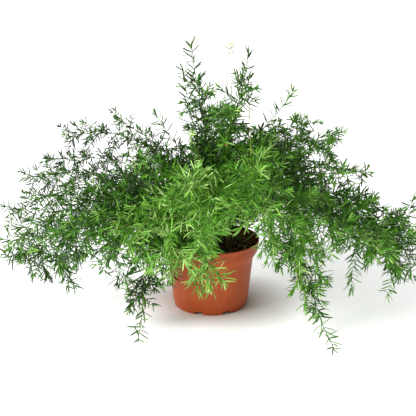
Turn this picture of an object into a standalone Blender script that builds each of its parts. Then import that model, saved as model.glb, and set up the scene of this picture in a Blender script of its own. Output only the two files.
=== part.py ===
"""Potted sprengeri asparagus fern: a moulded nursery pot, its potting mix, and arching leafy stems.

Metres, +Z up, +Y to the back of the plant. The origin is on the pot's axis, on the surface it stands on.
Each stem is one closed solid: its side branches and needles are grown out of its own faces.
"""

import math
from collections import namedtuple

import bmesh
import bpy
import numpy as np
from mathutils import Matrix, Vector, noise

MM = 0.001

# Pot, a six inch azalea pot
POT_HEIGHT = 113 * MM
RIM_RADIUS = 80 * MM
BAND_HEIGHT = 19 * MM
BAND_TAPER = 2.6 * MM
STEP_HEIGHT = 11.5 * MM
STEP_DEPTH = 7.2 * MM
BASE_RADIUS = 62.5 * MM
HEEL_HEIGHT = 10 * MM
HEEL_DEPTH = 1.2 * MM
FOOT_RADIUS = 60.3 * MM
WALL = 1.6 * MM
FLOOR_HEIGHT = 6 * MM
SIDES = 40
NOTCH_TURNS = (-109, -64.5, 71, 115.5)
NOTCH_WIDTH = 14 * MM
NOTCH_HEIGHT = 4.5 * MM
DRAINS = 8
DRAIN_RADIUS = 4 * MM
DRAIN_CIRCLE = 40 * MM
CLEARANCE = 0.3 * MM

# Potting mix
MIX_TOP = 99 * MM
MIX_DOME = 4 * MM
MIX_LUMP = 2 * MM
MIX_LUMP_SIZE = 18 * MM
MIX_RINGS = (16 * MM, 36 * MM, 56 * MM)
HOLE_DEPTH = 14 * MM
HOLE_SPACING = 5.6 * MM

# Stems, side branches and needles
STEM_SIDES = 3
STEM_BASE_RADIUS = 1.8 * MM
STEM_TIP_RADIUS = 1.0 * MM
STEM_COLLAR = 3 * MM
JOINT_LENGTH = 1.8 * MM
RISE_SHARE = 0.10
ARCH_SHARE = 0.66
BEND_SHARES = (0.08, 0.20)
LEAFY_FROM = 0.30
LEAFY_TO = 0.84
TIP_SHARES = (0.92, 1.0)
BRANCH_RADIUS = 0.8 * MM
BRANCH_SHARE = 0.2
BRANCH_LEAN = math.radians(52)
BRANCH_DROOP = 0.10
SHAPE_START = 0.28
SHAPE_SPAN = 0.62
SHAPE_POWER = 0.7
WHORL_SPACING = 23 * MM
NEEDLE_LENGTH = 20 * MM
NEEDLE_LEAN = math.radians(52)
NEEDLE_RADIUS = 0.75 * MM
TEST_FROM = 3.2 * MM
GOLDEN_ANGLE = math.radians(137.5)
CURVE_STEPS = 60
MOST_PIECES = 9000
NUDGES = (0, 25, -25, 50, -50, 80, -80, 120, -120, 160)
SHIFTS = (0, 3, -3, 6, -6, 9, -9, 12, -12, 16, -16, 20, -20)
SEED = 7

POT_COLOUR = (0.47, 0.13, 0.045, 1)
MIX_COLOUR = (0.02, 0.012, 0.008, 1)
LEAF_COLOUR = (0.09, 0.22, 0.03, 1)
SHOOT_COLOUR = (0.42, 0.56, 0.12, 1)

# Azimuth in degrees, 0 to the right and 90 to the back. Reach, tip and middle heights in mm.
# Turn is how many degrees the stem bends aside on its way. Branches says how many it carries.
Spray = namedtuple("Spray", "name azimuth reach tip middle turn branches")
SPRAYS = (
    Spray("crest_back_left", 108, 50, 424, 288, 22, 5),
    Spray("crest_left", 206, 44, 392, 277, -14, 5),
    Spray("crest_right", 46, 98, 402, 282, 5, 5),
    Spray("crest_front", 308, 52, 378, 272, 28, 5),
    Spray("crest_far_left", 133, 122, 303, 238, 6, 5),
    Spray("crest_far_right", 20, 136, 350, 262, -6, 5),
    Spray("right_back_high", 33, 218, 276, 256, 6, 5),
    Spray("right_high", 8, 206, 278, 250, -8, 5),
    Spray("right_front_high", 347, 226, 232, 214, 6, 5),
    Spray("right_shoulder", 3, 270, 208, 222, 5, 5),
    Spray("right_end", 355, 322, 140, 196, -4, 5),
    Spray("right_end_low", 343, 320, 104, 190, 6, 5),
    Spray("right_low", 350, 306, 96, 184, 6, 5),
    Spray("right_front_low", 338, 298, 128, 184, -5, 5),
    Spray("right_front_mid", 318, 226, 146, 200, -4, 5),
    Spray("left_high", 163, 164, 320, 254, 8, 5),
    Spray("left_back_high", 157, 262, 268, 262, 5, 5),
    Spray("left_back", 159, 296, 222, 226, 6, 5),
    Spray("left_shoulder", 177, 316, 200, 212, -6, 5),
    Spray("left_end_high", 184, 322, 168, 204, 5, 5),
    Spray("left_end", 192, 322, 128, 194, 5, 5),
    Spray("left_low", 187, 312, 74, 156, -6, 5),
    Spray("left_front_low", 202, 280, 134, 176, 9, 5),
    Spray("left_front_mid", 214, 194, 122, 174, -6, 5),
    Spray("left_front_high", 229, 186, 146, 196, 0, 5),
    Spray("front_left", 243, 176, 128, 188, 6, 5),
    Spray("front_fall_left", 250, 126, 84, 162, -8, 4),
    Spray("front_fall", 258, 140, 70, 170, 6, 4),
    Spray("front_high", 276, 152, 206, 226, -8, 5),
    Spray("front_left_high", 251, 156, 234, 232, 8, 5),
    Spray("front_right_high", 305, 160, 226, 244, 6, 5),
    Spray("front_reach", 262, 250, 132, 208, 7, 5),
    Spray("front_reach_right", 296, 236, 196, 250, -6, 5),
    Spray("back_high", 88, 128, 346, 258, 10, 5),
    Spray("back", 94, 240, 196, 222, -8, 4),
    Spray("back_low", 84, 254, 92, 180, 6, 4),
    Spray("back_left", 118, 292, 138, 204, 6, 5),
    Spray("back_right", 60, 286, 176, 214, -6, 5),
    Spray("back_far_left", 136, 312, 84, 172, -3, 5),
    Spray("back_far_right", 42, 312, 92, 178, 6, 5),
    Spray("middle_left", 188, 112, 262, 216, 10, 4),
    Spray("middle_right", 350, 92, 292, 224, -10, 4),
)
# Young pale shoots, thin and nearly bare
SHOOTS = (
    Spray("shoot_crest", 355, 30, 430, 304, 4, 2),
    Spray("shoot_left", 238, 92, 306, 246, 14, 3),
)
# Stems that fall over the rim and trail on the surface. Root and route are in mm: the root's
# distance from the axis, then (distance, height) pairs that the stem passes through.
Trail = namedtuple("Trail", "name azimuth turn root route branches")
TRAILS = (
    Trail("trail_left", 218, 20, 40, ((86, 150), (126, 118), (146, 62), (170, 17), (204, 9)), 5),
    Trail("trail_right", 335, -23, 36, ((90, 158), (146, 128), (184, 70), (222, 20), (268, 9)), 6),
    Trail("trail_right_short", 330, -12, 50, ((96, 144), (134, 122), (160, 96), (180, 70), (194, 50)), 4),
)


def pot_outer_radius(height):
    """Radius of the pot's outside at a height above the surface."""
    body_top = POT_HEIGHT - BAND_HEIGHT - STEP_HEIGHT
    body_radius = RIM_RADIUS - BAND_TAPER - STEP_DEPTH
    heights = (0, HEEL_HEIGHT, body_top, body_top + STEP_HEIGHT, POT_HEIGHT)
    radii = (FOOT_RADIUS, BASE_RADIUS, body_radius, RIM_RADIUS - BAND_TAPER, RIM_RADIUS)
    return float(np.interp(height, heights, radii))


def mix_height(x, y):
    """Height of the potting mix's rough, slightly domed top."""
    edge = RIM_RADIUS - WALL
    dome = MIX_DOME * (1 - (x * x + y * y) / (edge * edge))
    lumps = noise.noise(Vector((x, y, 0)) / MIX_LUMP_SIZE)
    return MIX_TOP + dome + MIX_LUMP * lumps


def make_material(name, colour, roughness):
    material = bpy.data.materials.new(name)
    material.use_nodes = True
    shader = material.node_tree.nodes["Principled BSDF"]
    shader.inputs["Base Color"].default_value = colour
    shader.inputs["Roughness"].default_value = roughness
    material.diffuse_color = colour
    return material


def add_mesh(name, mesh, material, collection):
    made = bpy.data.objects.new(name, mesh)
    made.data.materials.clear()
    made.data.materials.append(material)
    collection.objects.link(made)
    return made


def turned_mesh(name, profile):
    """A mesh turned round Z from (radius, height) pairs that run down the outer side."""
    curve = bmesh.new()
    corners = [curve.verts.new((radius, 0, height)) for radius, height in profile]
    for start, end in zip(corners, corners[1:]):
        curve.edges.new((start, end))
    mesh = bpy.data.meshes.new(name)
    curve.to_mesh(mesh)
    curve.free()
    made = bpy.data.objects.new(name, mesh)
    bpy.context.scene.collection.objects.link(made)
    screw = made.modifiers.new("Turn", "SCREW")
    screw.steps = screw.render_steps = SIDES
    screw.use_merge_vertices = True
    screw.merge_threshold = 0.01 * MM
    turned = bpy.data.meshes.new_from_object(made.evaluated_get(bpy.context.evaluated_depsgraph_get()))
    bpy.data.objects.remove(made)
    return turned


def cut(target, cutters):
    """Takes the cutters' shape out of the target, for good."""
    boolean = target.modifiers.new("Cut", "BOOLEAN")
    boolean.operation = "DIFFERENCE"
    boolean.object = cutters
    graph = bpy.context.evaluated_depsgraph_get()
    mesh = bpy.data.meshes.new_from_object(target.evaluated_get(graph))
    target.modifiers.clear()
    target.data = mesh


def add_cutters(name, mesh, collection):
    cutters = bpy.data.objects.new(name, mesh)
    cutters.hide_render = True
    cutters.display_type = "WIRE"
    collection.objects.link(cutters)
    return cutters


def make_pot(material, parts, helpers):
    """The moulded pot: a thin turned wall with a rim band, and a foot with drain notches."""
    body_top = POT_HEIGHT - BAND_HEIGHT - STEP_HEIGHT
    band_foot = body_top + STEP_HEIGHT
    floor_top = FLOOR_HEIGHT + WALL
    profile = (
        (0, floor_top),
        (pot_outer_radius(floor_top) - WALL - HEEL_DEPTH, floor_top),
        (pot_outer_radius(body_top) - WALL, body_top + WALL / 2),
        (pot_outer_radius(band_foot) - WALL, band_foot + WALL / 2),
        (RIM_RADIUS - WALL, POT_HEIGHT),
        (RIM_RADIUS, POT_HEIGHT),
        (pot_outer_radius(band_foot), band_foot),
        (pot_outer_radius(body_top), body_top),
        (BASE_RADIUS, HEEL_HEIGHT + HEEL_DEPTH),
        (pot_outer_radius(HEEL_HEIGHT) - HEEL_DEPTH, HEEL_HEIGHT),
        (FOOT_RADIUS, 0),
        (FOOT_RADIUS - 2 * WALL, 0),
        (FOOT_RADIUS - 2 * WALL, FLOOR_HEIGHT),
        (0, FLOOR_HEIGHT),
    )
    pot = add_mesh("pot", turned_mesh("pot", profile), material, parts)
    tools = bmesh.new()
    for azimuth in NOTCH_TURNS:
        turn = Matrix.Rotation(math.radians(azimuth), 4, "Z")
        notch = turn @ Matrix.Translation((FOOT_RADIUS - WALL, 0, 0))
        notch = notch @ Matrix.Diagonal((6 * WALL, NOTCH_WIDTH, 2 * NOTCH_HEIGHT, 1))
        bmesh.ops.create_cube(tools, size=1, matrix=notch)
    for number in range(DRAINS):
        azimuth = math.radians(NOTCH_TURNS[0]) + number * math.tau / DRAINS
        drain = Matrix.Rotation(azimuth, 4, "Z")
        drain = drain @ Matrix.Translation((DRAIN_CIRCLE, 0, FLOOR_HEIGHT + WALL / 2))
        bmesh.ops.create_cone(tools, cap_ends=True, segments=10, radius1=DRAIN_RADIUS,
                              radius2=DRAIN_RADIUS, depth=4 * WALL, matrix=drain)
    mesh = bpy.data.meshes.new("pot_openings")
    tools.to_mesh(mesh)
    tools.free()
    cut(pot, add_cutters("pot_openings", mesh, helpers))


def make_mix(roots, material, parts, helpers):
    """The potting mix: it fills the pot, and each stem stands in a plain hole in it."""
    body_top = POT_HEIGHT - BAND_HEIGHT - STEP_HEIGHT
    band_foot = body_top + STEP_HEIGHT
    inset = WALL + CLEARANCE
    bottom = FLOOR_HEIGHT + WALL + CLEARANCE
    profile = [(0, MIX_TOP)]
    profile += [(ring, MIX_TOP) for ring in MIX_RINGS]
    profile += [
        (pot_outer_radius(MIX_TOP - MIX_LUMP) - inset, MIX_TOP),
        (pot_outer_radius(band_foot) - inset - CLEARANCE, band_foot + WALL / 2),
        (pot_outer_radius(body_top) - inset - CLEARANCE, body_top + WALL / 2),
        (pot_outer_radius(bottom) - inset - HEEL_DEPTH - CLEARANCE, bottom),
        (0, bottom),
    ]
    mesh = turned_mesh("potting_mix", profile)
    for vertex in mesh.vertices:
        if vertex.co.z > MIX_TOP - 0.5 * MM:
            vertex.co.z = mix_height(vertex.co.x, vertex.co.y)
    mix = add_mesh("potting_mix", mesh, material, parts)
    tools = bmesh.new()
    depth = HOLE_DEPTH + 4 * STEM_COLLAR
    radius = STEM_BASE_RADIUS + CLEARANCE / math.cos(math.pi / STEM_SIDES)
    for root in roots:
        centre = Vector((root.x, root.y, mix_height(root.x, root.y) - HOLE_DEPTH + depth / 2))
        bmesh.ops.create_cone(tools, cap_ends=True, segments=STEM_SIDES, radius1=radius,
                              radius2=radius, depth=depth, matrix=Matrix.Translation(centre))
    holes = bpy.data.meshes.new("stem_holes")
    tools.to_mesh(holes)
    tools.free()
    cut(mix, add_cutters("stem_holes", holes, helpers))


def root_radius(spray):
    """How far from the pot's axis a stem leaves the mix: upright ones nearest."""
    return (7 + 0.085 * (420 - spray.tip) + 0.02 * spray.reach) * MM


def on_circle(azimuth, radius, height):
    return Vector((math.cos(azimuth) * radius, math.sin(azimuth) * radius, height))


def arch_points(spray, shift):
    """The line of an arching stem, from the mix to its tip, with its root shifted round the axis."""
    root = root_radius(spray)
    start = on_circle(math.radians(spray.azimuth + shift), root, 0)
    foot = mix_height(start.x, start.y) + STEM_COLLAR
    reach, tip, middle = spray.reach * MM, spray.tip * MM, spray.middle * MM
    pull = (middle - (foot + tip) / 8) / 0.75
    radii = (root, root + RISE_SHARE * (reach - root), root + ARCH_SHARE * (reach - root), reach)
    heights = (foot, pull, pull, tip)
    points = []
    for step in range(CURVE_STEPS + 1):
        t = step / CURVE_STEPS
        weights = ((1 - t) ** 3, 3 * t * (1 - t) ** 2, 3 * t * t * (1 - t), t ** 3)
        azimuth = math.radians(spray.azimuth + shift * (1 - t) + spray.turn * t * t)
        radius = sum(w * r for w, r in zip(weights, radii))
        height = sum(w * h for w, h in zip(weights, heights))
        points.append(on_circle(azimuth, radius, height))
    return points


def trail_points(trail, shift):
    """The line of a stem that falls over the rim: a smooth curve through its route."""
    azimuth = math.radians(trail.azimuth + shift)
    start = on_circle(azimuth, trail.root * MM, 0)
    foot = mix_height(start.x, start.y) + STEM_COLLAR
    route = [Vector((trail.root * MM, foot))] + [Vector(stop) * MM for stop in trail.route]
    ends = [2 * route[0] - route[1]] + route + [2 * route[-1] - route[-2]]
    points = []
    for step in range(CURVE_STEPS + 1):
        place = step / CURVE_STEPS * (len(route) - 1)
        span = min(int(place), len(route) - 2)
        t = place - span
        a, b, c, d = ends[span:span + 4]
        at = 0.5 * (2 * b + (c - a) * t + (2 * a - 5 * b + 4 * c - d) * t ** 2
                    + (3 * b - a - 3 * c + d) * t ** 3)
        turn = math.radians(trail.turn) * (step / CURVE_STEPS) ** 2
        points.append(on_circle(azimuth + turn, at.x, at.y))
    return points


class Line:
    """A curve read by the share of its length."""

    def __init__(self, points):
        self.points = np.array(points)
        steps = np.linalg.norm(np.diff(self.points, axis=0), axis=1)
        self.along = np.concatenate([[0], np.cumsum(steps)])
        self.length = float(self.along[-1])

    def at(self, share):
        return Vector([np.interp(share * self.length, self.along, self.points[:, k]) for k in range(3)])

    def direction(self, share):
        return (self.at(min(1, share + 0.01)) - self.at(max(0, share - 0.01))).normalized()


class Clearances:
    """Every straight piece of stem, branch and needle so far, to keep new ones clear of them."""

    def __init__(self):
        self.count = 0
        self.starts, self.others = np.zeros((MOST_PIECES, 3)), np.ones((MOST_PIECES, 3))
        self.radii = np.zeros(MOST_PIECES)

    def add(self, start, end, radius):
        self.starts[self.count], self.others[self.count] = start, end - start
        self.radii[self.count] = radius
        self.count += 1

    def free(self, start, end, radius):
        """Whether a piece from start to end misses the pot, the mix, the surface and all others."""
        return clear_of_pot(start, end, radius) and self.misses(start, end, radius)

    def misses(self, start, end, radius):
        if not self.count:
            return True
        starts, others = self.starts[:self.count], self.others[:self.count]
        start, along = np.array(start), np.array(end - start)
        between = start - starts
        a, c = along @ along, (others ** 2).sum(1)
        b, d, e = others @ along, between @ along, (between * others).sum(1)
        s = np.clip((b * e - c * d) / np.maximum(a * c - b * b, 1e-18), 0, 1)
        t = np.clip((b * s + e) / c, 0, 1)
        s = np.clip((b * t - d) / a, 0, 1)
        gaps = np.linalg.norm(between + s[:, None] * along - t[:, None] * others, axis=1)
        return bool((gaps > self.radii[:self.count] + radius + CLEARANCE).all())


def clear_of_pot(start, end, radius):
    """Whether a straight piece stays off the surface, the pot's wall and the mix."""
    margin = radius + 0.5 * MM
    for step in range(7):
        point = start.lerp(end, step / 6)
        if point.z < margin:
            return False
        if point.z > POT_HEIGHT + margin:
            continue
        outer = pot_outer_radius(point.z)
        across = math.hypot(point.x, point.y)
        inside = across < outer - WALL - margin and point.z > mix_height(point.x, point.y) + margin
        if across < outer + margin and not inside:
            return False
    return True


def extend(mesh, cap, centre, direction, radius, twist=0.0):
    """Lengthens a tube: its end face moves on to centre, and new sides join it to where it was."""
    cap = bmesh.ops.extrude_discrete_faces(mesh, faces=[cap])["faces"][0]
    corners = list(cap.verts)
    spoke = corners[0].co - cap.calc_center_median()
    spoke = (spoke - spoke.project(direction)).normalized() * radius
    for number, corner in enumerate(corners):
        turn = Matrix.Rotation(twist + number * math.tau / len(corners), 3, direction)
        corner.co = centre + turn @ spoke
    sides = [face for edge in cap.edges for face in edge.link_faces if face is not cap]
    return cap, sides


def raise_needle(mesh, face, tip):
    """A needle: the face's middle is drawn out to a point."""
    bmesh.ops.poke(mesh, faces=[face])["verts"][0].co = tip


def needle_whorl(mesh, sides, direction, length, clearances, draw):
    """A needle on each side of a short joint, where there is room for it."""
    for face in sides:
        foot = face.calc_center_median()
        outward = face.normal.copy()
        outward = (outward - outward.project(direction)).normalized()
        for nudge in NUDGES[:5]:
            lean = NEEDLE_LEAN + math.radians(draw.uniform(-7, 7))
            aside = Matrix.Rotation(math.radians(nudge * 0.5), 3, direction) @ outward
            way = direction * math.cos(lean) + aside * math.sin(lean)
            tip = foot + way * length * draw.uniform(0.8, 1.12)
            tested = foot + way * TEST_FROM
            if clearances.free(tested, tip, NEEDLE_RADIUS):
                raise_needle(mesh, face, tip)
                clearances.add(tested, tip, NEEDLE_RADIUS)
                break


def end_needle(mesh, cap, direction, length, clearances):
    foot = cap.calc_center_median()
    tip = foot + direction * length
    if clearances.free(foot + direction * TEST_FROM, tip, NEEDLE_RADIUS):
        raise_needle(mesh, cap, tip)
        clearances.add(foot, tip, NEEDLE_RADIUS)


def branch_line(foot, along, outward, length, whorls):
    """Middles of a side branch's joints, and the way it runs at each: it droops a little."""
    way = along * math.cos(BRANCH_LEAN) + outward * math.sin(BRANCH_LEAN)
    line, at = [], foot
    for _ in range(whorls):
        way = (way + Vector((0, 0, -BRANCH_DROOP))).normalized()
        at = at + way * length / whorls
        line.append((at, way.copy()))
    return line


def side_branch(mesh, sides, along, outward, length, clearances, draw):
    """A thin branch grown from one side of the stem, with a whorl of needles at each joint."""
    whorls = max(2, round(length / WHORL_SPACING))
    for nudge in NUDGES:
        aside = Matrix.Rotation(math.radians(nudge), 3, along) @ outward
        face = max(sides, key=lambda f: f.normal.dot(aside))
        foot = face.calc_center_median()
        line = branch_line(foot, along, aside, length, whorls)
        points = [foot + (line[0][0] - foot).normalized() * TEST_FROM] + [at for at, _ in line]
        pieces = list(zip(points, points[1:]))
        if all(clearances.free(start, end, BRANCH_RADIUS) for start, end in pieces):
            break
    else:
        return
    for start, end in pieces:
        clearances.add(start, end, BRANCH_RADIUS)
    halves = bmesh.ops.triangulate(mesh, faces=[face])["faces"]
    cap = halves[0]
    for number, (at, way) in enumerate(line):
        radius = BRANCH_RADIUS * (1 - 0.25 * number / whorls)
        cap, _ = extend(mesh, cap, at - way * JOINT_LENGTH, way, radius, twist=0.5)
        cap, joint = extend(mesh, cap, at, way, radius)
        mesh.normal_update()
        needle_whorl(mesh, joint, way, NEEDLE_LENGTH, clearances, draw)
    end_needle(mesh, cap, way, 0.8 * NEEDLE_LENGTH, clearances)


def leaf_shape(share):
    """How long a side branch is against the longest, by its place along the stem."""
    return math.sin(math.pi * min(1, SHAPE_START + SHAPE_SPAN * share)) ** SHAPE_POWER


class Stem:
    """One leafy stem: its line, the mesh grown along it and the branches it carries."""

    def __init__(self, spray, route, thin=1.0):
        self.name = spray.name
        self.spray = spray
        self.route = route
        self.branches = spray.branches
        self.thin = thin
        self.draw = np.random.default_rng(SEED + sum(map(ord, spray.name)))
        self.mesh = bmesh.new()
        self.joints = []

    def settle(self, clearances):
        """Finds a line for the stem that misses the pot and the stems that stand already."""
        for shift in SHIFTS:
            points = self.route(self.spray, shift)
            self.line, self.root = Line(points), points[0]
            stops = [self.root] + [self.line.at(share) for share, _ in self.shares()]
            pieces = list(zip(stops, stops[1:]))
            hole = (self.root - Vector((0, 0, HOLE_DEPTH)), self.root)
            free = all(clearances.misses(start, end, self.radius(0)) for start, end in pieces)
            free = free and clearances.misses(*hole, HOLE_SPACING / 2)
            if free and all(clear_of_pot(start, end, self.radius(0)) for start, end in pieces[1:]):
                break
        else:
            print("no room for", self.name)
        clearances.add(*hole, HOLE_SPACING / 2)
        for start, end in pieces:
            clearances.add(start, end, self.radius(0.3))

    def radius(self, share):
        return self.thin * (STEM_BASE_RADIUS + (STEM_TIP_RADIUS - STEM_BASE_RADIUS) * share)

    def shares(self):
        """Places along the stem of its bends, its branches and its last whorls."""
        bare = [(share, "bend") for share in BEND_SHARES]
        step = (LEAFY_TO - LEAFY_FROM) / max(1, self.branches - 1)
        leafy = [(LEAFY_FROM + step * k, "branch") for k in range(self.branches)]
        return bare + leafy + [(share, "whorl") for share in TIP_SHARES]

    def grow_line(self):
        """The bare stem, from the bottom of its hole to its tip, with the faces of its joints."""
        depth = HOLE_DEPTH - CLEARANCE + STEM_COLLAR
        middle = self.root - Vector((0, 0, depth / 2))
        bmesh.ops.create_cone(self.mesh, cap_ends=True, segments=STEM_SIDES, radius1=self.radius(0),
                              radius2=self.radius(0), depth=depth, matrix=Matrix.Translation(middle))
        self.mesh.faces.ensure_lookup_table()
        cap = max(self.mesh.faces, key=lambda face: face.calc_center_median().z)
        for share, kind in self.shares():
            at, way = self.line.at(share), self.line.direction(share)
            radius = self.radius(share)
            if kind == "bend":
                cap, _ = extend(self.mesh, cap, at, way, radius)
            else:
                cap, _ = extend(self.mesh, cap, at - way * JOINT_LENGTH, way, radius, twist=0.6)
                cap, sides = extend(self.mesh, cap, at, way, radius)
                self.joints.append((kind, share, way, sides))
        self.cap = cap
        self.mesh.normal_update()

    def grow_branches(self, clearances):
        kinds = [joint for joint in self.joints if joint[0] == "branch"]
        for number, (_, share, way, sides) in enumerate(kinds):
            across = way.cross(Vector((0, 0, 1))).normalized()
            angle = number * GOLDEN_ANGLE + self.draw.uniform(-0.3, 0.3)
            outward = Matrix.Rotation(angle, 3, way) @ across
            length = BRANCH_SHARE * self.line.length * leaf_shape(share) * self.thin
            side_branch(self.mesh, sides, way, outward, length, clearances, self.draw)

    def grow_tip(self, clearances):
        length = NEEDLE_LENGTH * (0.6 + 0.4 * self.thin)
        for kind, _, way, sides in self.joints:
            if kind == "whorl":
                needle_whorl(self.mesh, sides, way, length, clearances, self.draw)
        end_needle(self.mesh, self.cap, self.line.direction(1), 0.7 * length, clearances)

    def finish(self, material, collection):
        mesh = bpy.data.meshes.new(self.name)
        self.mesh.to_mesh(mesh)
        self.mesh.free()
        add_mesh(self.name, mesh, material, collection)


def main():
    for old in list(bpy.data.objects):
        bpy.data.objects.remove(old)
    parts = bpy.data.collections.new("potted_asparagus_fern")
    helpers = bpy.data.collections.new("cutters")
    for collection in (parts, helpers):
        bpy.context.scene.collection.children.link(collection)

    leafy = [Stem(trail, trail_points) for trail in TRAILS]
    leafy += [Stem(spray, arch_points) for spray in SPRAYS]
    shoots = [Stem(spray, arch_points, thin=0.7) for spray in SHOOTS]
    clearances = Clearances()
    for stem in leafy + shoots:
        stem.settle(clearances)
        stem.grow_line()
    for stem in leafy + shoots:
        stem.grow_branches(clearances)
    for stem in leafy + shoots:
        stem.grow_tip(clearances)

    make_pot(make_material("terracotta_plastic", POT_COLOUR, 0.5), parts, helpers)
    mix_colour = make_material("potting_mix", MIX_COLOUR, 0.95)
    make_mix([stem.root for stem in leafy + shoots], mix_colour, parts, helpers)
    green = make_material("foliage", LEAF_COLOUR, 0.45)
    pale = make_material("young_shoot", SHOOT_COLOUR, 0.45)
    for stem in leafy:
        stem.finish(green, parts)
    for stem in shoots:
        stem.finish(pale, parts)


main()
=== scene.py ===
# Potted sprengeri asparagus fern, dressed for its portrait: needles, soil, moulded pot and studio.
import math

import bmesh
import bpy
import numpy as np
from mathutils import Matrix, Vector, noise


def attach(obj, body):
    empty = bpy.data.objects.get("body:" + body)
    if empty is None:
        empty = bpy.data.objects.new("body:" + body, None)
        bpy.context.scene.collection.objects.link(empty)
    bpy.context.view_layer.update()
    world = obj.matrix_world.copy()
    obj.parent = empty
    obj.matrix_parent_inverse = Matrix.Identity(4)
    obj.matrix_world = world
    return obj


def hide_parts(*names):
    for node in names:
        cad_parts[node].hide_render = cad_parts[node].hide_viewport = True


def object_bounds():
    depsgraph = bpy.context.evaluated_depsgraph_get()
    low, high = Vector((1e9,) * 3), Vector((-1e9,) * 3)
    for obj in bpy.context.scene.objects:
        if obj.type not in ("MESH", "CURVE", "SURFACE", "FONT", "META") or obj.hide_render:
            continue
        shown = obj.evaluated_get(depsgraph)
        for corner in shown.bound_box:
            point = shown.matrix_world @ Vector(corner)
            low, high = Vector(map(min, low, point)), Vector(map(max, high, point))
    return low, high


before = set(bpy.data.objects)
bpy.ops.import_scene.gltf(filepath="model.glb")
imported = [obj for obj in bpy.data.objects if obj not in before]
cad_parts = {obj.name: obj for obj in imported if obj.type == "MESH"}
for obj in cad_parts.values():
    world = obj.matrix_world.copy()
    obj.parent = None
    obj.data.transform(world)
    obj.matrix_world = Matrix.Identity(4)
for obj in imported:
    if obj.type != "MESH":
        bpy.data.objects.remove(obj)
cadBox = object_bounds()
mm = 0.001
spare = 12 * mm

studio = {
    "cameraPlace": (-0.0043, -1.39, 0.589), "cameraDown": 17, "lens": 77.2,
    "sunFrom": (-1.0, -0.42, 0.6), "sunStrength": 3.7, "sunSpread": 36,
    # floorGlow is painted light: the floor's own glow, which lifts the shade on it
    "skyLeft": 0.78, "skyRight": 0.13, "floor": (0.94, 0.94, 0.94, 1), "floorGlow": 0.6,
    "floorSize": 60, "glowFrom": 0.06, "glowTo": 0.16,
}

# The stems' lines are the solids' own. Azimuth in degrees, 0 to the right and 90 to the back;
# reach, tip and middle heights in mm; turn is how far the stem bends aside on its way.
arches = {
    "crest_back_left": (108, 50, 424, 288, 22), "crest_left": (206, 44, 392, 277, -14),
    "crest_right": (46, 98, 402, 282, 5), "crest_front": (308, 52, 378, 272, 28),
    "crest_far_left": (133, 122, 303, 238, 6), "crest_far_right": (20, 136, 350, 262, -6),
    "right_back_high": (33, 218, 276, 256, 6), "right_high": (8, 206, 278, 250, -8),
    "right_front_high": (347, 226, 232, 214, 6), "right_shoulder": (3, 270, 208, 222, 5),
    "right_end": (355, 322, 140, 196, -4), "right_end_low": (343, 320, 104, 190, 6),
    "right_low": (350, 306, 96, 184, 6), "right_front_low": (338, 298, 128, 184, -5),
    "right_front_mid": (318, 226, 146, 200, -4), "left_high": (163, 164, 320, 254, 8),
    "left_back_high": (157, 262, 268, 262, 5), "left_back": (159, 296, 222, 226, 6),
    "left_shoulder": (177, 316, 200, 212, -6), "left_end_high": (184, 322, 168, 204, 5),
    "left_end": (192, 322, 128, 194, 5), "left_low": (187, 312, 74, 156, -6),
    "left_front_low": (202, 280, 134, 176, 9), "left_front_mid": (214, 194, 122, 174, -6),
    "left_front_high": (229, 186, 146, 196, 0), "front_left": (243, 176, 128, 188, 6),
    "front_fall_left": (250, 126, 84, 162, -8), "front_fall": (258, 140, 70, 170, 6),
    "front_high": (276, 152, 206, 226, -8), "front_left_high": (251, 156, 234, 232, 8),
    "front_right_high": (305, 160, 226, 244, 6), "front_reach": (262, 250, 132, 208, 7),
    "front_reach_right": (296, 236, 196, 250, -6), "back_high": (88, 128, 346, 258, 10),
    "back": (94, 240, 196, 222, -8), "back_low": (84, 254, 92, 180, 6),
    "back_left": (118, 292, 138, 204, 6), "back_right": (60, 286, 176, 214, -6),
    "back_far_left": (136, 312, 84, 172, -3), "back_far_right": (42, 312, 92, 178, 6),
    "middle_left": (188, 112, 262, 216, 10), "middle_right": (350, 92, 292, 224, -10),
    "shoot_crest": (355, 30, 430, 304, 4), "shoot_left": (238, 92, 306, 246, 14),
}
# Stems that fall over the rim: azimuth, turn, then (distance from the axis, height) in mm
trails = {
    "trail_left": (218, 20, ((86, 150), (126, 118), (146, 62), (170, 17), (204, 9))),
    "trail_right": (335, -23, ((90, 158), (146, 128), (184, 70), (222, 20), (268, 9))),
    "trail_right_short": (330, -12, ((96, 144), (134, 122), (160, 96), (180, 70), (194, 50))),
}
youngShoots = ("shoot_crest", "shoot_left")
# how long a stem's side branches are, against 1 for most stems
fullness = {
    "trail_left": 0.85, "trail_right": 0.8, "trail_right_short": 0.7, "front_fall": 0.45,
    "front_fall_left": 0.42, "front_reach": 0.65, "crest_left": 0.4, "crest_back_left": 0.5,
    "crest_far_left": 0.75, "left_high": 0.46, "left_back_high": 0.72, "left_back": 0.5,
    "left_shoulder": 0.62, "left_end_high": 0.78, "left_end": 0.65, "left_front_mid": 1.5,
    "left_front_high": 1.1, "left_front_low": 0.8, "front_left": 1.15, "right_high": 1.15,
    "crest_far_right": 0.9, "right_front_high": 0.75, "right_end": 0.46, "right_end_low": 1.3,
    "right_shoulder": 0.5, "right_back_high": 1.15, "right_front_low": 0.7,
    "right_front_mid": 1.4, "crest_front": 1.15, "crest_right": 0.3, "middle_right": 1.2,
    "back_high": 1.55, "back_low": 1.8, "back_right": 1.4, "back_far_right": 1.3,
}
# stems that are bare further up: the mix shows at the right of the rim, daylight at the far left
bareTo = {
    "trail_right": 0.36, "trail_right_short": 0.4, "right_front_mid": 0.42,
    "right_front_low": 0.44, "right_low": 0.5, "right_end_low": 0.6, "front_right_high": 0.42,
    "front_reach_right": 0.42, "crest_front": 0.36, "front_high": 0.3, "left_high": 0.36,
    "left_back_high": 0.42, "left_back": 0.6, "left_shoulder": 0.42,
}
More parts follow.
